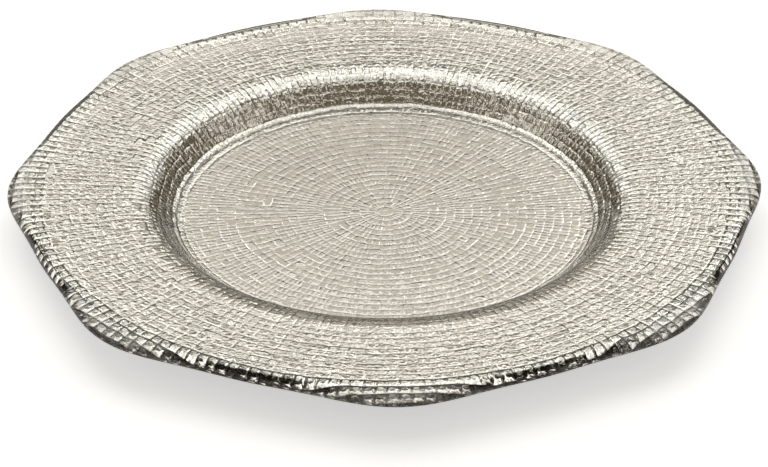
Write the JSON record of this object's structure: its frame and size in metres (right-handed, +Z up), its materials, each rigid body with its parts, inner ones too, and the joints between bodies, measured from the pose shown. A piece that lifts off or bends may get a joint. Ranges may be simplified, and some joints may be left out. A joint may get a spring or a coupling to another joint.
{
  "type": "charger plate",
  "caption": "Lobed round glass charger plate with a shallow well and a mosaic of rings pressed into its silvered underside, to set a dinner plate on.",
  "frame": {"origin": "on the table, on the axis of the plate, midway between the lobe tips", "axes": "+Z up through the well, +X and +Y each through the tip of a lobe"},
  "size_m": [0.33, 0.33, 0.0206],
  "materials": {
    "clear_glass": "pressed clear glass, fire-polished on top",
    "silver_film": "warm champagne silver film",
    "back_lacquer": "satin warm grey protective lacquer"
  },
  "bodies": {
    "root": {"glass_plate": "clear_glass", "silver_film": "silver_film", "back_lacquer": "back_lacquer"}
  },
  "joints": []
}
